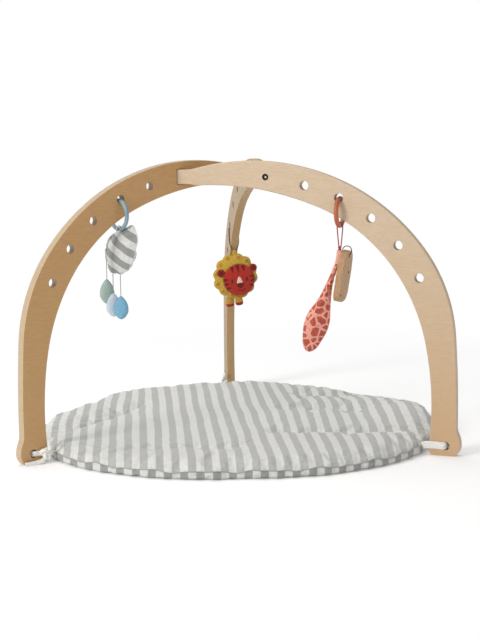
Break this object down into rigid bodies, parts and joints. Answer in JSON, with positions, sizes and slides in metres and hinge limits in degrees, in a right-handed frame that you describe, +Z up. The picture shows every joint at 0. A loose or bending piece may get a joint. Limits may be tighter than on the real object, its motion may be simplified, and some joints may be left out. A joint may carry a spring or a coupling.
{
  "type": "activity play gym",
  "caption": "Knock-down plywood tripod of crescent legs over a round quilted mat, with soft toys that hang and swing from holes in the legs.",
  "frame": {"origin": "on the floor, at the upright axis that the three legs lean round", "axes": "+Z up; -Y towards the open front of the gym; the back leg stands along +Y, the other two at 210 and 330 degrees"},
  "size_m": [0.838, 0.8641, 0.5585],
  "materials": {
    "birch_ply": "clear satin lacquer on birch plywood",
    "black_steel": "black oxide screw and washer",
    "zinc_insert": "zinc plated threaded insert",
    "mat_plain_cloth": "plain grey cotton",
    "mat_striped_cloth": "white and grey striped cotton, quilted",
    "white_wadding": "polyester wadding",
    "white_tape": "woven cotton tape",
    "blue_grey_plastic": "satin moulded ring",
    "terracotta_plastic": "satin moulded ring",
    "cloud_cloth": "soft striped cotton",
    "sage_cloth": "cotton jersey",
    "lavender_cloth": "cotton jersey",
    "sky_cloth": "cotton jersey",
    "white_thread": "twisted cotton thread",
    "yellow_cloth": "brushed cotton, curly print",
    "red_cloth": "brushed cotton",
    "dark_red_cloth": "brushed cotton",
    "pale_pink_cloth": "brushed cotton",
    "coral_patch_cloth": "pale pink cotton with coral patches",
    "rust_cord": "round braided cord",
    "pink_cord": "round braided cord",
    "beech": "oiled beech"
  },
  "bodies": {
    "frame": {"leg_left": "birch_ply", "leg_right": "birch_ply", "leg_back": "birch_ply", "joint_screws": "black_steel", "joint_washers": "black_steel", "joint_inserts": "zinc_insert", "mat_bottom_cloth": "mat_plain_cloth", "mat_side_band": "mat_striped_cloth", "mat_top_cover": "mat_striped_cloth", "mat_wadding": "white_wadding", "mat_tie_left": "white_tape", "mat_tie_right": "white_tape", "mat_tie_back": "white_tape"},
    "cloud_ring": {"cloud_ring": "blue_grey_plastic"},
    "cloud": {"cloud_front": "cloud_cloth", "cloud_filling": "white_wadding", "cloud_back": "cloud_cloth", "cloud_loop": "white_tape"},
    "drop_green": {"drop_green": "sage_cloth", "drop_green_thread": "white_thread"},
    "drop_white": {"drop_white": "lavender_cloth", "drop_white_thread": "white_thread"},
    "drop_blue": {"drop_blue": "sky_cloth", "drop_blue_thread": "white_thread"},
    "lion": {"lion_mane_front": "yellow_cloth", "lion_mane_filling": "white_wadding", "lion_mane_back": "yellow_cloth", "lion_face": "red_cloth", "lion_ear_left": "dark_red_cloth", "lion_ear_right": "dark_red_cloth", "lion_muzzle": "pale_pink_cloth", "lion_nose": "dark_red_cloth", "lion_foot_left": "red_cloth", "lion_foot_right": "red_cloth", "lion_cord": "rust_cord", "lion_tab": "yellow_cloth"},
    "giraffe_ring": {"giraffe_ring": "terracotta_plastic"},
    "giraffe": {"giraffe_cord": "pink_cord", "giraffe_tab": "pale_pink_cloth", "giraffe_body_front": "coral_patch_cloth", "giraffe_body_filling": "white_wadding", "giraffe_body_back": "coral_patch_cloth"},
    "giraffe_plate": {"giraffe_plate": "beech", "giraffe_plate_loop": "rust_cord"}
  },
  "joints": [
    {"name": "cloud_ring_swing", "type": "hinge", "parent": "frame", "child": "cloud_ring", "pos_m": [-0.23607, -0.07163, 0.4857], "axis": [0.5, -0.866, 0], "range_deg": [-8, 30]},
    {"name": "cloud_swing", "type": "hinge", "parent": "cloud_ring", "child": "cloud", "pos_m": [-0.23607, -0.07163, 0.4297], "axis": [0.5, -0.866, 0], "range_deg": [-15, 0]},
    {"name": "drop_green_swing", "type": "hinge", "parent": "cloud", "child": "drop_green", "pos_m": [-0.25988, -0.03688, 0.3674], "axis": [0.5, -0.866, 0], "range_deg": [-15, 30]},
    {"name": "drop_white_swing", "type": "hinge", "parent": "cloud", "child": "drop_white", "pos_m": [-0.24952, -0.06381, 0.3446], "axis": [0.5, -0.866, 0], "range_deg": [-15, 30]},
    {"name": "drop_blue_swing", "type": "hinge", "parent": "cloud", "child": "drop_blue", "pos_m": [-0.23652, -0.08633, 0.3424], "axis": [0.5, -0.866, 0], "range_deg": [-15, 30]},
    {"name": "lion_swing", "type": "hinge", "parent": "frame", "child": "lion", "pos_m": [0.056, 0.35649, 0.39217], "axis": [-1, 0, 0], "range_deg": [0, 35]},
    {"name": "giraffe_ring_swing", "type": "hinge", "parent": "frame", "child": "giraffe_ring", "pos_m": [0.18007, -0.16862, 0.4864], "axis": [0.5, 0.866, 0], "range_deg": [-6, 30]},
    {"name": "giraffe_swing", "type": "hinge", "parent": "giraffe_ring", "child": "giraffe", "pos_m": [0.18007, -0.16862, 0.4344], "axis": [0.5, 0.866, 0], "range_deg": [-15, 25]},
    {"name": "giraffe_plate_swing", "type": "hinge", "parent": "giraffe", "child": "giraffe_plate", "pos_m": [0.18461, -0.17125, 0.3875], "axis": [0.5, 0.866, 0], "range_deg": [-18, 0]}
  ]
}
